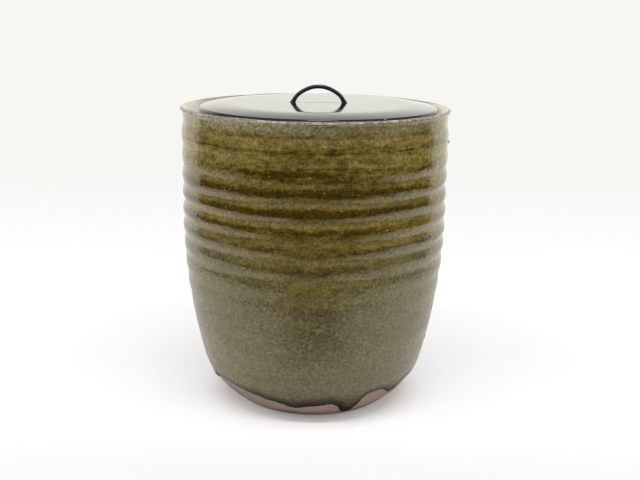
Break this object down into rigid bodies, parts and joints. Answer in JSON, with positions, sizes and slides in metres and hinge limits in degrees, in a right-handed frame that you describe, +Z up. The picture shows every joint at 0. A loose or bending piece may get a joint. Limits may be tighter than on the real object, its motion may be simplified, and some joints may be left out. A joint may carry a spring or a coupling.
{
  "type": "mizusashi water jar",
  "caption": "Thrown stoneware water jar with throwing rings, olive ash glaze that runs at the foot, and a lift-off black lacquered wooden lid with a bow handle.",
  "frame": {"origin": "centre of the flat base, on the surface that the jar stands on", "axes": "+Z up along the jar's axis, -Y towards the front, +X along the handle's span"},
  "size_m": [0.16, 0.16, 0.1909],
  "materials": {
    "clay": "bare fired stoneware, matte",
    "ash_glaze": "glossy olive ash glaze",
    "lacquered_wood": "black lacquer, high gloss"
  },
  "bodies": {
    "jar": {"clay_jar": "clay", "outer_glaze": "ash_glaze", "inner_glaze": "ash_glaze"},
    "lid": {"lid_board": "lacquered_wood", "lid_ring": "lacquered_wood", "lid_handle": "lacquered_wood"}
  },
  "joints": [
    {"name": "lid_lift", "type": "slide", "parent": "jar", "child": "lid", "axis": [0, 0, 1], "range_m": [0, 0.12]}
  ]
}
